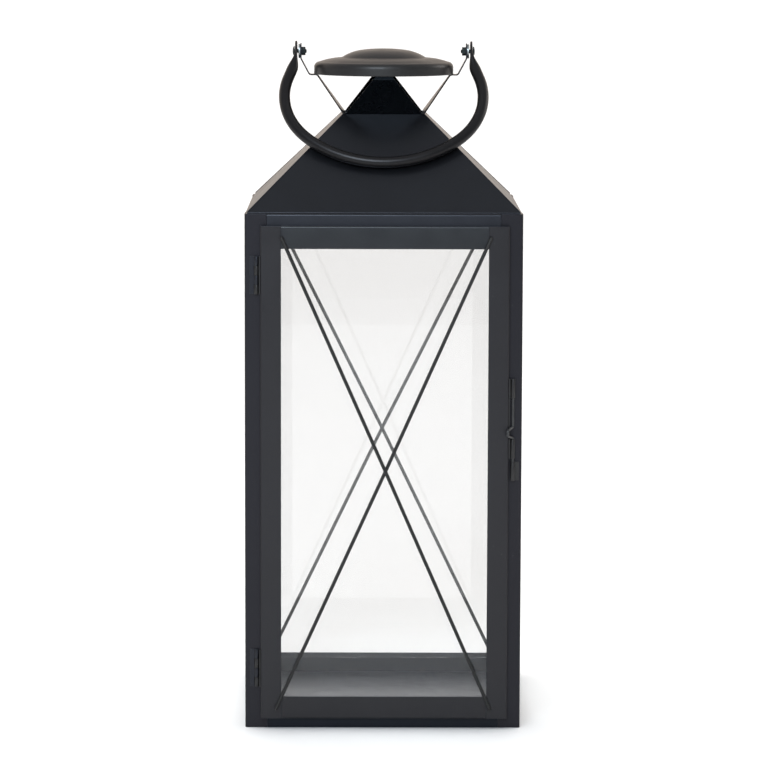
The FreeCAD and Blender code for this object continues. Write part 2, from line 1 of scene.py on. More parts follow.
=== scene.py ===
"""Looks, lights and camera for the black candle lantern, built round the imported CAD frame.

Metres, +Z up, the door at -Y and its hinges at -X. Pieces are made at rest, in place.
"""
import json
import math

import bmesh
import bpy
from mathutils import Matrix, Quaternion, Vector

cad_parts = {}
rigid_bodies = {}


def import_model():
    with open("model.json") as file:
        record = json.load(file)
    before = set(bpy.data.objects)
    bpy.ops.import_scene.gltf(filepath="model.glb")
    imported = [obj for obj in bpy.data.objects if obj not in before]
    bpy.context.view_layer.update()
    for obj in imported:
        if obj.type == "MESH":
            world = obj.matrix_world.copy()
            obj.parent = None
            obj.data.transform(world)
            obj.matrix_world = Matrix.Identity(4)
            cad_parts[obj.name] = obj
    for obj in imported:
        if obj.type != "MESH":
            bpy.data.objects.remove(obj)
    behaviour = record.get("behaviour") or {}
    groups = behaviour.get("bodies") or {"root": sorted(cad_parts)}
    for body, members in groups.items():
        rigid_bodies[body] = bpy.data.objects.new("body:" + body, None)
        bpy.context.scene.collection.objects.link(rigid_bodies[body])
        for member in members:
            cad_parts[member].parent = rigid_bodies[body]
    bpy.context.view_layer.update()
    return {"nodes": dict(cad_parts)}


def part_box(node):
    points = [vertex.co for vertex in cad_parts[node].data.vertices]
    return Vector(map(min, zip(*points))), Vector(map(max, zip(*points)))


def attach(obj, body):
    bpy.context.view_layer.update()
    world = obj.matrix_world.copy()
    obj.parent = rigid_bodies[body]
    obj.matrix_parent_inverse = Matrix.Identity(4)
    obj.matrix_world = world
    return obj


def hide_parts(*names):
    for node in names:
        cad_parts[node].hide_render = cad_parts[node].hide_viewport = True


for leftover in list(bpy.data.objects):
    bpy.data.objects.remove(leftover)
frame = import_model()
nodes = frame["nodes"]

MM = 0.001
BODY = "lantern_body"

# Quarter turns about Z from the front, where each piece is drawn
SIDES = {"front": 0, "right": 1, "back": 2, "left": 3}
CORNERS = {"front_left": 0, "front_right": 1, "back_right": 2, "back_left": 3}


# Materials


class Nodes:
    """The node tree of a material or a world, with short calls for the nodes used here."""

    def __init__(self, owner, space="Object"):
        owner.use_nodes = True
        self.owner = owner
        self.tree = owner.node_tree
        self.shader = self.tree.nodes.get("Principled BSDF")
        self.place = self.tree.nodes.new("ShaderNodeTexCoord").outputs[space]

    def link(self, source, target):
        self.tree.links.new(source, target)

    def noise(self, scale, detail=2.0, roughness=0.5, stretch=None):
        node = self.tree.nodes.new("ShaderNodeTexNoise")
        node.inputs["Scale"].default_value = scale
        node.inputs["Detail"].default_value = detail
        node.inputs["Roughness"].default_value = roughness
        source = self.place
        if stretch is not None:
            mapping = self.tree.nodes.new("ShaderNodeMapping")
            mapping.inputs["Scale"].default_value = stretch
            self.link(source, mapping.inputs["Vector"])
            source = mapping.outputs["Vector"]
        self.link(source, node.inputs["Vector"])
        return node.outputs["Fac"]

    def specks(self, scale, low, high):
        """Small round spots: 1 in a spot, 0 between."""
        node = self.tree.nodes.new("ShaderNodeTexVoronoi")
        node.inputs["Scale"].default_value = scale
        self.link(self.place, node.inputs["Vector"])
        return self.range(node.outputs["Distance"], low, high, 1.0, 0.0)

    def range(self, value, from_low, from_high, to_low, to_high):
        node = self.tree.nodes.new("ShaderNodeMapRange")
        for slot, number in zip((1, 2, 3, 4), (from_low, from_high, to_low, to_high)):
            node.inputs[slot].default_value = number
        self.link(value, node.inputs[0])
        return node.outputs[0]

    def math(self, kind, a, b):
        node = self.tree.nodes.new("ShaderNodeMath")
        node.operation = kind
        for slot, value in ((0, a), (1, b)):
            if isinstance(value, (int, float)):
                node.inputs[slot].default_value = value
            else:
                self.link(value, node.inputs[slot])
        return node.outputs[0]

    def mix(self, factor, a, b):
        node = self.tree.nodes.new("ShaderNodeMix")
        node.data_type = "RGBA"
        self.link(factor, node.inputs[0])
        for slot, value in ((6, a), (7, b)):    # the node's colour inputs; its output 2 is their mix
            if isinstance(value, tuple):
                node.inputs[slot].default_value = (*value, 1.0)
            else:
                self.link(value, node.inputs[slot])
        return node.outputs[2]

    def bump(self, height, strength, distance, before=None):
        node = self.tree.nodes.new("ShaderNodeBump")
        node.inputs["Strength"].default_value = strength
        node.inputs["Distance"].default_value = distance
        self.link(height, node.inputs["Height"])
        if before is not None:
            self.link(before, node.inputs["Normal"])
        return node.outputs["Normal"]


DUST = (0.07, 0.069, 0.065)
BARE_METAL = (0.05, 0.051, 0.054)


def powder_coat(name, base, rough, wear=0.0, tint=(0.80, 0.85, 1.0), skin=0.5):
    """Fine orange-peel coat with cloudy tone, a little dust, and bare spots where wear is above 0.

    Tint colours its reflections, and skin is the weight of its smoother top layer.
    """
    n = Nodes(bpy.data.materials.new(name))
    cloud = n.noise(22.0, 4.0, 0.6)
    fine = n.noise(900.0, 3.0, 0.6)
    dark = tuple(0.82 * c for c in base)
    light = tuple(1.22 * c for c in base)
    colour = n.mix(n.range(cloud, 0.3, 0.7, 0.0, 1.0), dark, light)
    grain = n.range(fine, 0.35, 0.75, 0.0, 1.0)
    colour = n.mix(n.math("MULTIPLY", grain, 0.45), colour, tuple(1.7 * c for c in base))
    dust = n.math("MULTIPLY", n.specks(160.0, 0.03, 0.1), n.range(n.noise(35.0, 2.0), 0.56, 0.72, 0.0, 0.5))
    colour = n.mix(dust, colour, DUST)
    if wear > 0:
        rubbed = n.range(n.noise(260.0, 5.0, 0.7), 0.5, 0.72, 0.0, wear)
        colour = n.mix(rubbed, colour, BARE_METAL)
    n.link(colour, n.shader.inputs["Base Color"])
    streaks = n.noise(60.0, 3.0, 0.6)
    n.link(n.range(streaks, 0.25, 0.75, rough - 0.06, rough + 0.08), n.shader.inputs["Roughness"])
    n.shader.inputs["IOR"].default_value = 1.64
    n.shader.inputs["Specular Tint"].default_value = (*tint, 1.0)
    n.shader.inputs["Coat Weight"].default_value = skin
    n.shader.inputs["Coat IOR"].default_value = 1.3
    n.shader.inputs["Coat Roughness"].default_value = 0.16
    peel = n.bump(n.noise(520.0, 2.0, 0.5), 0.28, 0.00012)
    pimple = n.bump(fine, 0.22, 0.00006, peel)
    ripple = n.bump(n.noise(14.0, 1.0, 0.4), 0.10, 0.0012, pimple)
    n.link(ripple, n.shader.inputs["Normal"])
    return n.owner


def clear_glass(name):
    """Float glass that lets lamps through, with faint smears in its gloss."""
    n = Nodes(bpy.data.materials.new(name))
    n.shader.inputs["Base Color"].default_value = (0.868, 0.868, 0.866, 1.0)
    n.shader.inputs["Transmission Weight"].default_value = 1.0
    n.shader.inputs["IOR"].default_value = 1.5
    smear = n.noise(18.0, 5.0, 0.65, (1.0, 1.0, 0.35))
    n.link(n.range(smear, 0.45, 0.8, 0.0, 0.012), n.shader.inputs["Roughness"])
    n.link(n.bump(n.noise(7.0, 1.0), 0.03, 0.0004), n.shader.inputs["Normal"])
    see_through = n.tree.nodes.new("ShaderNodeBsdfTransparent")
    see_through.inputs["Color"].default_value = (0.93, 0.935, 0.93, 1.0)
    path = n.tree.nodes.new("ShaderNodeLightPath")
    blend = n.tree.nodes.new("ShaderNodeMixShader")
    n.link(path.outputs["Is Shadow Ray"], blend.inputs["Fac"])
    n.link(n.shader.outputs["BSDF"], blend.inputs[1])
    n.link(see_through.outputs["BSDF"], blend.inputs[2])
    n.link(blend.outputs["Shader"], n.tree.nodes["Material Output"].inputs["Surface"])
    return n.owner


def hardware(name, dark, light, metal):
    """Zinc on the small screws, nuts and washers, from dark to light in cloudy patches."""
    n = Nodes(bpy.data.materials.new(name))
    cloud = n.noise(420.0, 4.0, 0.6)
    colour = n.mix(n.range(cloud, 0.35, 0.7, 0.0, 1.0), dark, light)
    n.link(colour, n.shader.inputs["Base Color"])
    n.shader.inputs["Metallic"].default_value = metal
    n.link(n.range(cloud, 0.3, 0.7, 0.3, 0.48), n.shader.inputs["Roughness"])
    n.link(n.bump(n.noise(1300.0, 2.0), 0.25, 0.00005), n.shader.inputs["Normal"])
    return n.owner


def floor_paint(name):
    """Matt near-white paint, darker in what the lantern's coat mirrors, so that the coat stays deep."""
    n = Nodes(bpy.data.materials.new(name))
    tone = n.noise(3.0, 3.0, 0.5)
    paint = n.mix(tone, (0.86, 0.86, 0.855), (0.9, 0.9, 0.895))
    path = n.tree.nodes.new("ShaderNodeLightPath")
    mirrored = n.math("SUBTRACT", path.outputs["Is Glossy Ray"], path.outputs["Is Transmission Ray"])
    n.link(n.mix(mirrored, paint, (0.42, 0.42, 0.42)), n.shader.inputs["Base Color"])
    n.shader.inputs["Roughness"].default_value = 0.75
    n.link(n.bump(n.noise(700.0, 2.0), 0.1, 0.0001), n.shader.inputs["Normal"])
    return n.owner


STEEL = (0.0040, 0.0043, 0.0056)
BROWN = (0.0046, 0.0042, 0.0048)
coat = powder_coat("powder_coat", STEEL, 0.40)
coat_post = powder_coat("powder_coat_post", BROWN, 0.45, tint=(0.66, 0.66, 0.78))
# Painted shade: the bottom rails get a darker copy of the coat with dimmer reflections, for the shade they
# sit in between the posts.
coat_rail_shaded = powder_coat("powder_coat_rail_painted_shade", (0.0026, 0.0031, 0.0042), 0.42, tint=(0.42, 0.50, 0.64))
coat_roof = powder_coat("powder_coat_roof", (0.0034, 0.0037, 0.0046), 0.38, tint=(0.68, 0.74, 0.86))
coat_door = powder_coat("powder_coat_door", (0.0046, 0.0046, 0.0056), 0.39, tint=(0.95, 0.94, 1.0))
# Painted light: the door's top rail gets a lighter copy of the coat, for the light falling on it from above.
coat_door_top_lit = powder_coat("powder_coat_door_top_painted_light", (0.0082, 0.0094, 0.0128), 0.36, tint=(0.95, 0.99, 1.0))
# Painted light: a lighter copy of the coat on the latch and the door's hinge leaves, which stand proud and
# catch light.
coat_latch_lit = powder_coat("powder_coat_latch_painted_light", (0.0084, 0.0083, 0.0083), 0.40, tint=(1.0, 0.99, 0.99))
# Edge wear and painted highlight: a lighter, worn copy of the coat on the rounded edges and hip seams, for
# rubbed paint and for the light the edges catch.
coat_edge_wear_and_highlight = powder_coat("powder_coat_edge_wear_and_highlight", tuple(1.3 * c for c in STEEL), 0.40, wear=0.35)
# Painted light: a lighter, warmer copy of the coat on the vent cap, for the grazing light on its crown.
coat_cap_lit = powder_coat("powder_coat_cap_painted_light", (0.0085, 0.0083, 0.0085), 0.44, tint=(1.0, 0.99, 0.98), skin=0.3)
# Painted shade: the bail's coat gets dimmer reflections than the body's, holding it darker under the front
# light.
coat_bail_shaded = powder_coat("powder_coat_bail_painted_shade", (0.0042, 0.0041, 0.0044), 0.34, tint=(0.62, 0.61, 0.63),
                        skin=0.15)
coat_wire = powder_coat("powder_coat_wire", (0.0098, 0.0098, 0.0094), 0.48, tint=(1.0, 1.0, 1.0), skin=0.0)
# The slide bolt's coat is worn and lighter; on the hinge and latch edges the same coat is a painted
# highlight.
coat_worn_bolt_and_highlight = powder_coat("powder_coat_worn_bolt_and_highlight", (0.020, 0.021, 0.022), 0.30, wear=0.9, tint=(1.0, 1.0, 1.0),
                        skin=0.6)
# Painted shade: a near-black copy of the coat with dim reflections on the neck tabs, for the shade under the
# cap.
coat_neck_shaded = powder_coat("powder_coat_neck_painted_shade", (0.0008, 0.0011, 0.0015), 0.26, tint=(0.25, 0.34, 0.45),
                        skin=0.25)
glass = clear_glass("float_glass")
zinc = hardware("blackened_zinc", (0.010, 0.017, 0.018), (0.03, 0.045, 0.047), 0.35)
bright_zinc = hardware("bright_zinc", (0.55, 0.62, 0.61), (0.75, 0.8, 0.79), 1.0)


# Mesh helpers


def piece(name, bm, body, material, stands_for, edge=None, smooth_angle=35.0):
    """Make an object of a bmesh, ride it on a body and let it stand for its CAD nodes."""
    bmesh.ops.recalc_face_normals(bm, faces=bm.faces)
    mesh = bpy.data.meshes.new(name)
    bm.to_mesh(mesh)
    bm.free()
    for polygon in mesh.polygons:
        polygon.use_smooth = True
    mesh.set_sharp_from_angle(angle=math.radians(smooth_angle))
    mesh.materials.append(material)
    if edge is not None:
        mesh.materials.append(edge)
    made = bpy.data.objects.new(name, mesh)
    bpy.context.scene.collection.objects.link(made)
    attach(made, body)
    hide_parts(*stands_for)
    return made


def soften(obj, width, edge_slot=None):
    """Round every sharp edge a little, as paint and deburring leave it."""
    bevel = obj.modifiers.new("edge_round", "BEVEL")
    bevel.width = width
    bevel.segments = 2
    bevel.limit_method = "ANGLE"
    bevel.angle_limit = math.radians(40)
    bevel.use_clamp_overlap = True
    bevel.harden_normals = True
    if edge_slot is not None:
        bevel.material = edge_slot


def keep_cad(name, width, material=None, edge=None):
    """Keep a CAD node: join its split corners, round its edges and give it its materials."""
    node = nodes[name]
    weld = node.modifiers.new("join_corners", "WELD")
    weld.merge_threshold = 0.002 * MM
    flatten = node.modifiers.new("join_flats", "DECIMATE")
    flatten.decimate_type = "DISSOLVE"
    flatten.angle_limit = math.radians(0.4)
    soften(node, width, edge_slot=1 if edge else None)
    node.data.materials.clear()
    node.data.materials.append(material or coat)
    if edge:
        node.data.materials.append(edge)


def loft(bm, rings):
    """Skin rings of equal size, with both ends open."""
    rows = [[bm.verts.new(point) for point in ring] for ring in rings]
    count = len(rows[0])
    for lower, upper in zip(rows, rows[1:]):
        for i in range(count):
            j = (i + 1) % count
            bm.faces.new((lower[i], lower[j], upper[j], upper[i]))
    return rows


def cap_ring(bm, row, point):
    """Close a ring with a fan to one point."""
    tip = bm.verts.new(point)
    for a, b in zip(row, row[1:] + row[:1]):
        bm.faces.new((a, b, tip))


def frames_along(points):
    """A direction and two cross axes at each point, carried along without twist."""
    axes = []
    count = len(points)
    side = None
    for i in range(count):
        ahead = (points[min(i + 1, count - 1)] - points[max(i - 1, 0)]).normalized()
        if side is None:
            start = Vector((0, 0, 1)) if abs(ahead.z) < 0.9 else Vector((1, 0, 0))
            side = ahead.cross(start).normalized()
        side = (side - ahead * side.dot(ahead)).normalized()
        axes.append((ahead, side, ahead.cross(side)))
    return axes


def tube(bm, points, radius, around=20, dome=0.8):
    """Round bar along dense points, with slightly domed ends."""
    axes = frames_along(points)

    def ring(centre, axis, r):
        turn = [2 * math.pi * k / around for k in range(around)]
        return [centre + (axis[1] * math.cos(t) + axis[2] * math.sin(t)) * r for t in turn]

    def dome_ring(end, axis, inward, a):
        depth = reach * (1 - math.sin(a))
        return ring(end + axis[0] * (inward * depth), axis, radius * math.cos(a))

    start, end = points[0], points[-1]
    reach = radius * dome
    ends = [math.radians(a) for a in (78, 55, 32, 12)]
    rings = [dome_ring(start, axes[0], 1, a) for a in ends]
    for point, axis in zip(points, axes):
        if min((point - start).length, (point - end).length) > reach:
            rings.append(ring(point, axis, radius))
    rings += [dome_ring(end, axes[-1], -1, a) for a in reversed(ends)]
    rows = loft(bm, rings)
    cap_ring(bm, rows[0], start)
    cap_ring(bm, rows[-1], end)


def rounded(points, radius, step):
    """Dense points along straight runs joined by tangent arcs."""
    path = [points[0]]
    for before, corner, after in zip(points, points[1:], points[2:]):
        back = (before - corner).normalized()
        ahead = (after - corner).normalized()
        half = back.angle(ahead) / 2
        reach = radius / math.tan(half)
        centre = corner + (back + ahead).normalized() * (radius / math.sin(half))
        first = corner + back * reach - centre
        last = corner + ahead * reach - centre
        turn = first.angle(last)
        axis = first.cross(last).normalized()
        count = max(4, math.ceil(turn / math.radians(12)))
        arc = [centre + Quaternion(axis, turn * k / count) @ first for k in range(count + 1)]
        path += run(path[-1], arc[0], step)[1:-1] + arc
    return path + run(path[-1], points[-1], step)[1:]


def run(a, b, step):
    """Evenly spaced points of a straight stretch, no further apart than a step."""
    count = max(2, math.ceil((b - a).length / step))
    return [a.lerp(b, k / count) for k in range(count + 1)]


def arc_2d(a, b, c, count):
    """Points of the circle arc from a through b to c."""
    ax, ay = a
    bx, by = b
    cx, cy = c
    d = 2 * (ax * (by - cy) + bx * (cy - ay) + cx * (ay - by))
    sa, sb, sc = ax * ax + ay * ay, bx * bx + by * by, cx * cx + cy * cy
    ux = (sa * (by - cy) + sb * (cy - ay) + sc * (ay - by)) / d
    uy = (sa * (cx - bx) + sb * (ax - cx) + sc * (bx - ax)) / d
    r = math.hypot(ax - ux, ay - uy)
    start = math.atan2(ay - uy, ax - ux)
    sweep = (math.atan2(cy - uy, cx - ux) - start + math.pi) % (2 * math.pi) - math.pi
    return [(ux + r * math.cos(start + sweep * k / count), uy + r * math.sin(start + sweep * k / count))
            for k in range(count + 1)]


def extrude(bm, outline, direction):
    """Solid of a closed flat outline of 3-D points."""
    low = [bm.verts.new(p) for p in outline]
    high = [bm.verts.new(p + direction) for p in outline]
    for i in range(len(low)):
        j = (i + 1) % len(low)
        bm.faces.new((low[i], low[j], high[j], high[i]))
    bm.faces.new(low[::-1])
    bm.faces.new(high)


def folded(end_a, corner, end_b, thick, radius):
    """Outline of a right-angled folded sheet; the three 2-D points are on its outside."""
    a, c, b = Vector(end_a), Vector(corner), Vector(end_b)
    u, v = (a - c).normalized(), (b - c).normalized()
    centre = c + (u + v) * radius

    def arc(r):
        turn = [math.pi / 12 * k for k in range(7)]
        return [centre - u * r * math.sin(t) - v * r * math.cos(t) for t in turn]

    return [a] + arc(radius) + [b, b + u * thick] + arc(radius - thick)[::-1] + [a + v * thick]


def turned(bm, side):
    """Turn a piece drawn on the front to another side of the square body."""
    bmesh.ops.rotate(bm, verts=bm.verts, cent=(0, 0, 0), matrix=Matrix.Rotation(math.pi / 2 * side, 3, "Z"))
    return bm


# Body frame: folded steel angles and strips

SHEET = 1.0 * MM
FOLD = 1.5 * MM
EDGE_ROUND = 0.28 * MM

post_low, post_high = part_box("corner_post_front_left")
HALF = -post_low.x
POST_W = post_high.x - post_low.x
BODY_H = post_high.z

for corner, side in CORNERS.items():
    bm = bmesh.new()
    leg = -HALF + POST_W
    outline = folded((leg, -HALF), (-HALF, -HALF), (-HALF, leg), SHEET, FOLD)
    extrude(bm, [Vector((p.x, p.y, 0)) for p in outline], Vector((0, 0, BODY_H)))
    name = "corner_post_" + corner
    post = piece("post_" + corner, turned(bm, side), BODY, coat_post, [name], edge=coat_edge_wear_and_highlight)
    soften(post, EDGE_ROUND, edge_slot=1)

rail_low, rail_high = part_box("top_rail_front")
reach = HALF - POST_W
for name, side in SIDES.items():
    bm = bmesh.new()
    outline = folded((-HALF, rail_low.z), (-HALF, BODY_H), (rail_high.y, BODY_H), SHEET, FOLD)
    extrude(bm, [Vector((-reach, p.x, p.y)) for p in outline], Vector((2 * reach, 0, 0)))
    lip = [(reach, rail_low.y + SHEET), (rail_high.x, rail_low.y + SHEET),
           (-rail_high.y, rail_high.y), (reach, rail_high.y)]
    for sign in (-1, 1):    # the lip runs on behind each post, to a mitre
        extrude(bm, [Vector((sign * x, y, BODY_H - SHEET)) for x, y in lip], Vector((0, 0, SHEET)))
    rail = piece("upper_rail_" + name, turned(bm, side), BODY, coat, ["top_rail_" + name], edge=coat_edge_wear_and_highlight)
    soften(rail, EDGE_ROUND, edge_slot=1)
    keep_cad("bottom_rail_" + name, EDGE_ROUND, coat_rail_shaded, edge=coat_edge_wear_and_highlight)
    keep_cad("roof_panel_" + name, 0.22 * MM, coat_roof, edge=coat_edge_wear_and_highlight)
keep_cad("floor_panel", 0.2 * MM)
for name in ("neck_tab_front", "neck_tab_back"):
    keep_cad(name, 0.16 * MM, coat_neck_shaded, edge=coat_edge_wear_and_highlight)
for name in ("bail_strap_right", "bail_strap_left"):
    keep_cad(name, 0.16 * MM, edge=coat_edge_wear_and_highlight)


# Roof seams: a fine ground weld along each hip

EAVE_EDGE = 0.8 * MM
SEAM_R = 0.42 * MM
NEAR = 0.01 * MM

roof_low, roof_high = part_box("roof_panel_front")
panel = [v.co for v in nodes["roof_panel_front"].data.vertices]
top = [p for p in panel if p.z > roof_high.z - NEAR]
top_y = min(p.y for p in top)
top_x = min(p.x for p in top if p.y < top_y + NEAR)
seam_start = Vector((roof_low.x, roof_low.y, roof_low.z + EAVE_EDGE)) + Vector((0.25, 0.25, 0.25)) * MM
seam_end = Vector((top_x, top_y, roof_high.z)) + Vector((0.1, 0.1, -0.3)) * MM
bm = bmesh.new()
for side in CORNERS.values():
    seam = bmesh.new()
    tube(seam, run(seam_start, seam_end, 2.0 * MM), SEAM_R, 10)
    turned(seam, side)
    mesh = bpy.data.meshes.new("seam")
    seam.to_mesh(mesh)
    seam.free()
    bm.from_mesh(mesh)
    bpy.data.meshes.remove(mesh)
# The seams are drawn in the lighter edge coat: wear and painted highlight.
piece("roof_hip_seams", bm, BODY, coat_edge_wear_and_highlight, [])


# Door: folded stiles and rails

DOOR_FOLD = 1.2 * MM


def door_strip(name, node, outline, start, along, material=coat_door):
    """Folded strip; start places a point of its outline, and along is its length."""
    bm = bmesh.new()
    extrude(bm, [start(p) for p in outline], along)
    strip = piece(name, bm, "door", material, [node], edge=coat_edge_wear_and_highlight)
    soften(strip, 0.2 * MM, edge_slot=1)


def door_stile(name, node, outer_is_low):
    low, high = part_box(node)
    outer, inner = (low.x, high.x) if outer_is_low else (high.x, low.x)
    outline = folded((inner, low.y), (outer, low.y), (outer, high.y), SHEET, DOOR_FOLD)
    along = Vector((0, 0, high.z - low.z))
    door_strip(name, node, outline, lambda p: Vector((p.x, p.y, low.z)), along)


def door_rail(name, node, outer_is_low, material):
    low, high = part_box(node)
    outer, inner = (low.z, high.z) if outer_is_low else (high.z, low.z)
    outline = folded((low.y, inner), (low.y, outer), (high.y, outer), SHEET, DOOR_FOLD)
    along = Vector((high.x - low.x, 0, 0))
    door_strip(name, node, outline, lambda p: Vector((low.x, p.x, p.y)), along, material)


door_stile("door_strip_left", "door_stile_left", True)
door_stile("door_strip_right", "door_stile_right", False)
door_rail("door_strip_low", "door_rail_bottom", True, coat_door)
door_rail("door_strip_high", "door_rail_top", False, coat_door_top_lit)


# Crossed wires: on the door's face, and behind the frame in the fixed windows

WIRE_R = 1.3 * MM
SINK = 0.1 * MM
BOW = 0.65 * MM
WIRE_BEND_R = 400 * MM
WINDOW_CROSS = (0.0, 193.7)    # X and Z of the crossing, in millimetres
DOOR_CROSS = (1.6, 189.3)
MOUND_HALF = (2.2 * MM, 1.75 * MM)    # half length and half width of a weld
MOUND_INSET = 3.2 * MM


def crossed_wire(name, node, body, side, rising, seat, crossing, welded):
    """Round wire drawn on the front and turned to its side; the seat is the depth of its centreline."""
    low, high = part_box(node)
    turn = Matrix.Rotation(-math.pi / 2 * side, 3, "Z")
    a, b = turn @ low, turn @ high
    x0, x1 = sorted((a.x, b.x))
    slope = math.atan2(high.z - low.z, x1 - x0)
    x0, x1 = x0 + WIRE_R * math.sin(slope), x1 - WIRE_R * math.sin(slope)
    z0, z1 = low.z + WIRE_R * math.cos(slope), high.z - WIRE_R * math.cos(slope)
    if not rising:
        x0, x1 = x1, x0
    bow = BOW if rising else -BOW
    start, end = Vector((x0, seat, z0)), Vector((x1, seat, z1))
    middle = Vector((crossing[0] * MM, seat + bow, crossing[1] * MM))
    bm = bmesh.new()
    tube(bm, rounded([start, middle, end], WIRE_BEND_R, 6.0 * MM), WIRE_R, 18, dome=0.5)
    if welded:
        weld_mound(bm, start, (middle - start).normalized())
        weld_mound(bm, end, (middle - end).normalized())
    piece(name, turned(bm, side), body, coat_wire, [node])


def weld_mound(bm, tip, inward):
    """Low bead of weld on the flat at each side of the wire's end."""
    across = Vector((inward.z, 0, -inward.x)).normalized()
    along = Vector((inward.x, 0, inward.z)).normalized()
    foot = tip + Vector((0, WIRE_R - SINK, 0)) + along * MOUND_INSET
    rows = []
    for height, grow in ((0.1, 1.0), (-0.15, 0.93), (-0.4, 0.72), (-0.55, 0.4)):
        ring = []
        for k in range(24):
            t = 2 * math.pi * k / 24
            ripple = 1 + 0.06 * math.sin(5 * t)
            offset = along * (MOUND_HALF[0] * math.cos(t)) + across * (MOUND_HALF[1] * math.sin(t))
            ring.append(foot + offset * grow * ripple + Vector((0, height * MM, 0)))
        rows.append(ring)
    made = loft(bm, rows)
    cap_ring(bm, made[0], foot + Vector((0, 0.1 * MM, 0)))
    cap_ring(bm, made[-1], foot + Vector((0, -0.6 * MM, 0)))


for name in ("right", "back", "left"):
    for kind in ("rising", "falling"):
        crossed_wire(f"wire_{kind}_{name}", f"window_wire_{kind}_{name}", BODY, SIDES[name],
                     kind == "rising", -HALF + SHEET + WIRE_R - SINK, WINDOW_CROSS, False)
    keep_cad("window_glass_" + name, 0.2 * MM, glass)
    keep_cad("glass_clips_" + name, 0.12 * MM, edge=coat_edge_wear_and_highlight)
door_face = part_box("door_stile_left")[0].y
for kind in ("rising", "falling"):
    crossed_wire(f"wire_{kind}_door", f"door_wire_{kind}", "door", 0, kind == "rising",
                 door_face - WIRE_R + SINK, DOOR_CROSS, True)
keep_cad("door_glass", 0.2 * MM, glass)
keep_cad("door_glass_clips", 0.12 * MM, edge=coat_edge_wear_and_highlight)


# Hinges and latch

for level in ("lower", "upper"):
    # Their edges carry the bolt's lighter coat as a painted highlight along the pin and knuckles.
    keep_cad("hinge_leaf_fixed_" + level, 0.16 * MM, edge=coat_worn_bolt_and_highlight)
    keep_cad("hinge_leaf_door_" + level, 0.16 * MM, coat_latch_lit, edge=coat_worn_bolt_and_highlight)
keep_cad("hinge_pins", 0.15 * MM, zinc)
keep_cad("latch_guide", 0.12 * MM, coat_latch_lit, edge=coat_worn_bolt_and_highlight)
keep_cad("latch_keeper", 0.12 * MM, coat_latch_lit, edge=coat_worn_bolt_and_highlight)

BOLT_R = 1.0 * MM
BOLT_AXIS = Vector((93.3, -102.3, 0)) * MM
LOOP_REACH = Vector((-0.53, -0.848, 0)) * 7.2 * MM
LOOP_LOW = 213.6    # heights in millimetres
LOOP_HIGH = 221.4
LOOP_SLANT = 1.8
LOOP_BEND = 1.5 * MM

low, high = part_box("latch_bolt")
lift = Vector((0, 0, MM))
route = [
    BOLT_AXIS + Vector((0, 0, low.z)),
    BOLT_AXIS + lift * LOOP_LOW,
    BOLT_AXIS + LOOP_REACH + lift * (LOOP_LOW + LOOP_SLANT),
    BOLT_AXIS + LOOP_REACH + lift * (LOOP_HIGH - LOOP_SLANT),
    BOLT_AXIS + lift * LOOP_HIGH,
    BOLT_AXIS + Vector((0, 0, high.z)),
]
bm = bmesh.new()
tube(bm, rounded(route, LOOP_BEND, 1.5 * MM), BOLT_R, 20, dome=0.7)
piece("latch_bolt_wire", bm, "latch_bolt", coat_worn_bolt_and_highlight, ["latch_bolt"])


# Vent cap: one pressed sheet. Radius and height of its outer side, in millimetres

CAP_T = 0.9 * MM
RIM = (51.5, 471.2)
SKIRT_TOP = (51.5, 476.2)
SHOULDER = (50.408, 479.14)
SHELF_EDGE = (47.6, 480.4)
SHELF_MID = (40.0, 482.5)
SHELF_IN = (31.4, 483.4)
CREASE = (30.6, 483.85)
CROWN_FOOT = (29.8, 484.4)
CROWN_SIDE = (24.4, 487.0)
CROWN_EDGE = (16.0, 489.1)
CROWN_TOP = [(12.0, 489.58), (8.0, 489.86), (4.0, 489.98), (0.0, 490.0)]
AROUND = 160


def cap_profile():
    """Outer side of the pressed cap from its rim to the axis, in metres, with its creases smoothed."""
    curve = [RIM, SKIRT_TOP]
    curve += arc_2d(SKIRT_TOP, SHOULDER, SHELF_EDGE, 12)[1:]
    curve += arc_2d(SHELF_EDGE, SHELF_MID, SHELF_IN, 14)[1:]
    curve += [CREASE, CROWN_FOOT]
    curve += arc_2d(CROWN_FOOT, CROWN_SIDE, CROWN_EDGE, 14)[1:]
    curve += CROWN_TOP
    dense = []
    for (ra, za), (rb, zb) in zip(curve, curve[1:]):
        count = max(1, math.ceil(math.hypot(rb - ra, zb - za) / 0.5))
        dense += [(ra + (rb - ra) * k / count, za + (zb - za) * k / count) for k in range(count)]
    dense.append(curve[-1])
    for _ in range(5):
        smooth = dense[:]
        for i in range(8, len(dense) - 1):
            before, here, after = dense[i - 1:i + 2]
            smooth[i] = tuple(0.25 * before[j] + 0.5 * here[j] + 0.25 * after[j] for j in (0, 1))
        dense = smooth
    return [(r * MM, z * MM) for r, z in dense]


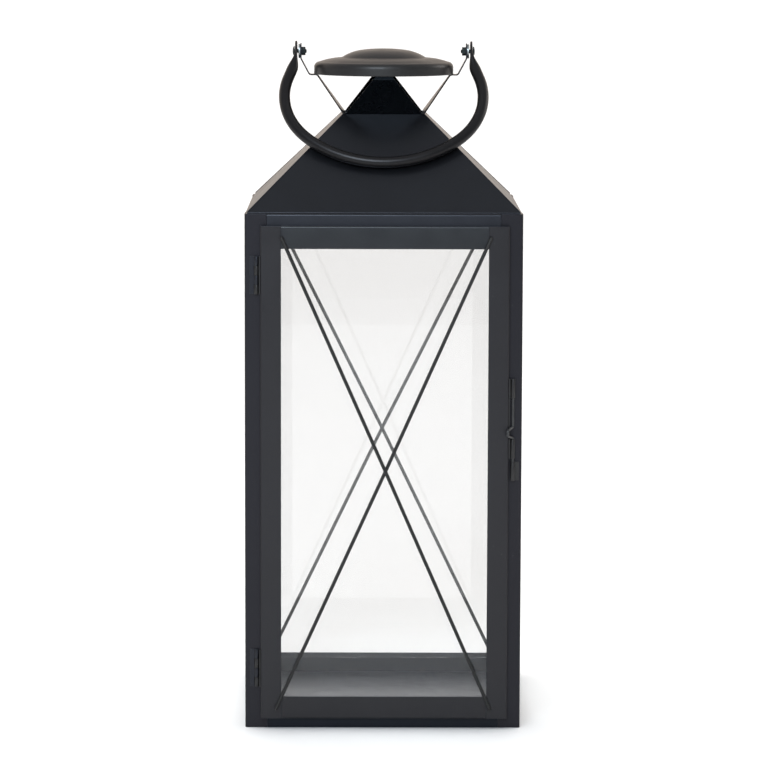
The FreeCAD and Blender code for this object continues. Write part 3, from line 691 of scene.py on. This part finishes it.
outer = cap_profile()
inner = []
for i, (r, z) in enumerate(outer):
    ra, za = outer[max(i - 1, 0)]
    rb, zb = outer[min(i + 1, len(outer) - 1)]
    length = math.hypot(rb - ra, zb - za)
    inner.append((max(r - (zb - za) / length * CAP_T, 0.0), z + (rb - ra) / length * CAP_T))
rim_z = outer[0][1]
hem = []
for k in range(7):
    t = math.pi * k / 6
    hem.append((outer[0][0] - CAP_T / 2 * (1 - math.cos(t)), rim_z + CAP_T / 2 * (1 - math.sin(t))))
section = outer[-2:1:-1] + hem + inner[2:-1]
bm = bmesh.new()
columns = []
for k in range(AROUND):
    t = 2 * math.pi * k / AROUND
    columns.append([bm.verts.new((r * math.cos(t), r * math.sin(t), z)) for r, z in section])
for left, right in zip(columns, columns[1:] + columns[:1]):
    for i in range(len(section) - 1):
        bm.faces.new((left[i], right[i], right[i + 1], left[i + 1]))
cap_ring(bm, [c[0] for c in columns], Vector((0, 0, outer[-1][1])))
cap_ring(bm, [c[-1] for c in columns], Vector((0, 0, inner[-1][1])))
piece("vent_cap_spun", bm, BODY, coat_cap_lit, ["vent_cap"])


# Bail: a round tube, flattened and drilled at both ends

PIVOT = Vector((0, 0, 0.488))
LEAN = math.radians(41.870)    # swung forward from hanging straight down
# Millimetres in the bail's own plane, from the middle of the pivots
BAIL_R = 4.1
BAIL_HALF = 72.8         # half width at its widest
BAIL_WIDEST = 42.6       # drop to the widest point
BAIL_DROP = 104.6        # drop to the middle of the grip
BAIL_SIDE_R = 55.0
BAIL_ARC_TOP = 25.0      # drop where the side arc runs out into a straight leg
BAIL_LEG_TOP = 18.0      # drop where the flattening starts
FLAT_X = 64.8
FLAT_LOW = -4.0
FLAT_TIP = 1.8           # centre of the rounded tip
FLAT_HALF_T = 0.9
FLAT_HALF_W = 6.2
HOLE_R = 1.58
UPRIGHT_SECTIONS = 17    # the last ones, from the foot of the flat to its tip


def bail_centreline():
    """Points of the right half in the bail's own plane, from the grip's middle up to the straight leg."""
    low = BAIL_DROP - BAIL_WIDEST
    grip_r = (BAIL_HALF**2 + low**2 - 2 * BAIL_HALF * BAIL_SIDE_R) / (2 * (low - BAIL_SIDE_R))
    side = Vector((BAIL_HALF - BAIL_SIDE_R, -BAIL_WIDEST))
    grip = Vector((0, grip_r - BAIL_DROP))
    join_turn = math.atan2((side - grip).x, -(side - grip).y)
    points = [grip + Vector((math.sin(a), -math.cos(a))) * grip_r
              for a in [join_turn * k / 24 for k in range(25)]]
    top_turn = math.asin((BAIL_WIDEST - BAIL_ARC_TOP) / BAIL_SIDE_R)
    sweep = math.pi / 2 - join_turn + top_turn
    for k in range(1, 37):
        a = join_turn + sweep * k / 36
        points.append(side + Vector((math.sin(a), -math.cos(a))) * BAIL_SIDE_R)
    return points


def bail_sections():
    """Centre, half thickness and half width of each section of the right half."""
    points = bail_centreline()
    top = points[-1]
    ahead = (points[-1] - points[-2]).normalized()
    leg_top = top + ahead * ((-BAIL_LEG_TOP - top.y) / ahead.y)
    sections = [(p, BAIL_R, BAIL_R) for p in points]
    for k in range(1, 6):
        sections.append((top.lerp(leg_top, k / 5), BAIL_R, BAIL_R))
    flat = Vector((FLAT_X, FLAT_LOW))
    rise = BAIL_LEG_TOP + FLAT_LOW
    for k in range(1, 13):
        t = k / 12
        ease = t * t * (3 - 2 * t)
        centre = leg_top.lerp(flat, t)
        centre.x = leg_top.x + ahead.x / ahead.y * rise * t * (1 - t) ** 2 + (flat.x - leg_top.x) * ease
        half_t = BAIL_R + (FLAT_HALF_T - BAIL_R) * ease
        half_w = BAIL_R + (FLAT_HALF_W - BAIL_R) * ease
        sections.append((centre, half_t, half_w))
    for k in range(1, 5):
        height = FLAT_LOW + (FLAT_TIP - FLAT_LOW) * k / 4
        sections.append((Vector((FLAT_X, height)), FLAT_HALF_T, FLAT_HALF_W))
    for k in range(1, 13):
        a = math.pi / 2 * k / 12 * 0.985    # ends just short of a point
        height = FLAT_TIP + FLAT_HALF_W * math.sin(a)
        sections.append((Vector((FLAT_X, height)), FLAT_HALF_T, FLAT_HALF_W * math.cos(a)))
    return sections


def squashed(centre, ahead, half_t, half_w, around=36):
    """Section from a circle towards a flat with rounded edges, across the local direction."""
    across = Vector((ahead.y, -ahead.x))
    power = 0.45 + 0.55 * min(half_t / half_w, 1.0)
    ring = []
    for k in range(around):
        t = 2 * math.pi * k / around
        c, s = math.cos(t), math.sin(t)
        u = math.copysign(abs(c) ** power, c) * half_t
        v = math.copysign(abs(s) ** power, s) * half_w
        ring.append(Vector((centre.x + across.x * u, v, centre.y + across.y * u)))
    return ring


def bail_mesh():
    """Both halves in one skin, swung forward to where the bail rests."""
    sections = bail_sections()
    rings = []
    for i, (centre, half_t, half_w) in enumerate(sections):
        before = sections[max(i - 1, 0)][0]
        after = sections[min(i + 1, len(sections) - 1)][0]
        ahead = (after - before).normalized() if i else Vector((1, 0))
        if i >= len(sections) - UPRIGHT_SECTIONS:
            ahead = Vector((0, 1))
        rings.append([p * MM for p in squashed(centre, ahead, half_t, max(half_w, 0.3))])
    mirrored = [[Vector((-p.x, p.y, p.z)) for p in ring] for ring in rings[:0:-1]]
    bm = bmesh.new()
    rows = loft(bm, mirrored + rings)
    for row in (rows[0], rows[-1]):
        middle = sum((v.co for v in row), Vector()) / len(row)
        cap_ring(bm, row, middle)
    place = Matrix.Translation(PIVOT) @ Matrix.Rotation(-LEAN, 4, "X")
    bmesh.ops.transform(bm, matrix=place, verts=bm.verts)
    return bm


def drilled(obj, radius, x0, x1):
    """Cut the pivot hole across both flat ends."""
    bm = bmesh.new()
    for x in (x0, x1):
        spin = Matrix.Translation(Vector((x, 0, PIVOT.z))) @ Matrix.Rotation(math.pi / 2, 4, "Y")
        bmesh.ops.create_cone(bm, cap_ends=True, segments=36, radius1=radius, radius2=radius, depth=8 * MM,
                              matrix=spin)
    mesh = bpy.data.meshes.new("drill")
    bm.to_mesh(mesh)
    bm.free()
    drill = bpy.data.objects.new("drill", mesh)
    bpy.context.scene.collection.objects.link(drill)
    cut = obj.modifiers.new("hole", "BOOLEAN")
    cut.operation = "DIFFERENCE"
    cut.solver = "EXACT"
    cut.object = drill
    graph = bpy.context.evaluated_depsgraph_get()
    result = bpy.data.meshes.new_from_object(obj.evaluated_get(graph))
    obj.modifiers.remove(cut)
    old = obj.data
    obj.data = result
    bpy.data.meshes.remove(old)
    bpy.data.objects.remove(drill)
    bpy.data.meshes.remove(mesh)


bail = piece("bail_handle", bail_mesh(), "bail", coat_bail_shaded, ["bail"], smooth_angle=50.0)
drilled(bail, HOLE_R * MM, -FLAT_X * MM, FLAT_X * MM)


# Pivot screws, washers and nuts


def lathe_x(bm, profile, x_sign, around=36):
    """Turn (x, radius) points about the pivot axis."""
    rows = []
    for x, r in profile:
        turn = [2 * math.pi * k / around for k in range(around)]
        rows.append([Vector((x_sign * x, r * math.cos(t), PIVOT.z + r * math.sin(t))) for t in turn])
    made = loft(bm, rows)
    for row, x in ((made[0], profile[0][0]), (made[-1], profile[-1][0])):
        cap_ring(bm, row, Vector((x_sign * x, 0, PIVOT.z)))


HEAD_X = 65.9 * MM
HEAD_EDGE = 0.35 * MM
SCREW_END = 57.0 * MM
SHANK_R = 1.46 * MM

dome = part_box("pivot_screws")[1].x - HEAD_X - HEAD_EDGE
profile = [(SCREW_END, 0.9 * MM), (SCREW_END + 0.3 * MM, 1.3 * MM), (SCREW_END + 0.6 * MM, SHANK_R),
           (HEAD_X, SHANK_R), (HEAD_X, 3.4 * MM), (HEAD_X + 0.12 * MM, 3.62 * MM),
           (HEAD_X + HEAD_EDGE, 3.6 * MM)]
for k in range(1, 9):
    a = math.pi / 2 * k / 8
    profile.append((HEAD_X + HEAD_EDGE + dome * math.sin(a), 3.58 * MM * math.cos(a) + 0.02 * MM))
bm = bmesh.new()
for sign in (1, -1):
    lathe_x(bm, profile, sign)
piece("pivot_screw_pair", bm, BODY, zinc, ["pivot_screws"])
keep_cad("pivot_nuts", 0.3 * MM, zinc)
keep_cad("pivot_washers", 0.2 * MM, bright_zinc)


# Floor, light and camera

FLOOR_HALF_W = 20
FLOOR_NEAR = -2.85
FLOOR_FAR = 50

bm = bmesh.new()
corners = [(-FLOOR_HALF_W, FLOOR_NEAR), (FLOOR_HALF_W, FLOOR_NEAR), (FLOOR_HALF_W, FLOOR_FAR),
           (-FLOOR_HALF_W, FLOOR_FAR)]
bm.faces.new([bm.verts.new((x, y, 0)) for x, y in corners])
mesh = bpy.data.meshes.new("studio_floor")
bm.to_mesh(mesh)
bm.free()
mesh.materials.append(floor_paint("studio_floor"))
studio_floor = bpy.data.objects.new("studio_floor", mesh)
bpy.context.scene.collection.objects.link(studio_floor)


def softbox(name, place, target, size, power, tint=(1.0, 1.0, 1.0)):
    """Square area light, aimed at a point."""
    light = bpy.data.lights.new(name, "AREA")
    light.shape = "SQUARE"
    light.size = size
    light.energy = power
    light.color = tint
    lamp = bpy.data.objects.new(name, light)
    lamp.location = place
    lamp.rotation_mode = "QUATERNION"
    lamp.rotation_quaternion = (Vector(target) - Vector(place)).to_track_quat("-Z", "Y")
    bpy.context.scene.collection.objects.link(lamp)


softbox("window", place=(-0.5, -2.5, 1.75), target=(0, 0, 0.25), size=1.2, power=34.0, tint=(0.80, 0.90, 1.0))
softbox("rim", place=(1.9, 0.9, 1.3), target=(0, 0, 0.3), size=0.9, power=4.0)

ceiling = bpy.data.lights.new("ceiling", "SUN")
ceiling.energy = 3.3
ceiling.angle = math.radians(75)
lamp = bpy.data.objects.new("ceiling", ceiling)
lamp.rotation_euler = (math.radians(-16), math.radians(-6), 0)
lamp.visible_glossy = False
bpy.context.scene.collection.objects.link(lamp)

# Surround: what lights the lantern and shows in its reflections
FRONT_WALLS = (0.24, 0.25, 0.27)
BACK_WALL = (0.80, 0.69, 0.60)
OVERHEAD = (0.30, 0.30, 0.31)
BACKDROP = (1.0, 1.0, 1.0)    # what the camera sees of the surround, directly or through glass

n = Nodes(bpy.data.worlds.new("studio"), "Generated")
split = n.tree.nodes.new("ShaderNodeSeparateXYZ")
n.link(n.place, split.inputs[0])
walls = n.mix(n.range(split.outputs["Y"], 0.0, 0.75, 0.0, 1.0), FRONT_WALLS, BACK_WALL)
studio = n.mix(n.range(split.outputs["Z"], 0.35, 0.9, 0.0, 1.0), walls, OVERHEAD)
path = n.tree.nodes.new("ShaderNodeLightPath")
seen = n.math("MAXIMUM", path.outputs["Is Camera Ray"], path.outputs["Is Transmission Ray"])
n.link(n.mix(seen, studio, BACKDROP), n.tree.nodes["Background"].inputs["Color"])
bpy.context.scene.world = n.owner

bpy.context.scene.view_settings.view_transform = "Standard"

CAMERA_PLACE = (-0.0126, -2.6929, 0.5740)
YAW = math.radians(-0.287)
TILT_DOWN = math.radians(7.072)
ROLL = math.radians(0.166)

camera_data = bpy.data.cameras.new("camera")
camera_data.sensor_width = 36.0
camera_data.lens = 170.0
camera_data.clip_start = 0.05
camera_data.clip_end = 90.0
camera = bpy.data.objects.new("camera", camera_data)
bpy.context.scene.collection.objects.link(camera)
camera.location = CAMERA_PLACE
camera.rotation_mode = "QUATERNION"
turn = Quaternion((0, 0, 1), YAW)
pitch = Quaternion((1, 0, 0), math.pi / 2 - TILT_DOWN)
roll = Quaternion((0, 0, 1), ROLL)
camera.rotation_quaternion = turn @ pitch @ roll
bpy.context.scene.camera = camera
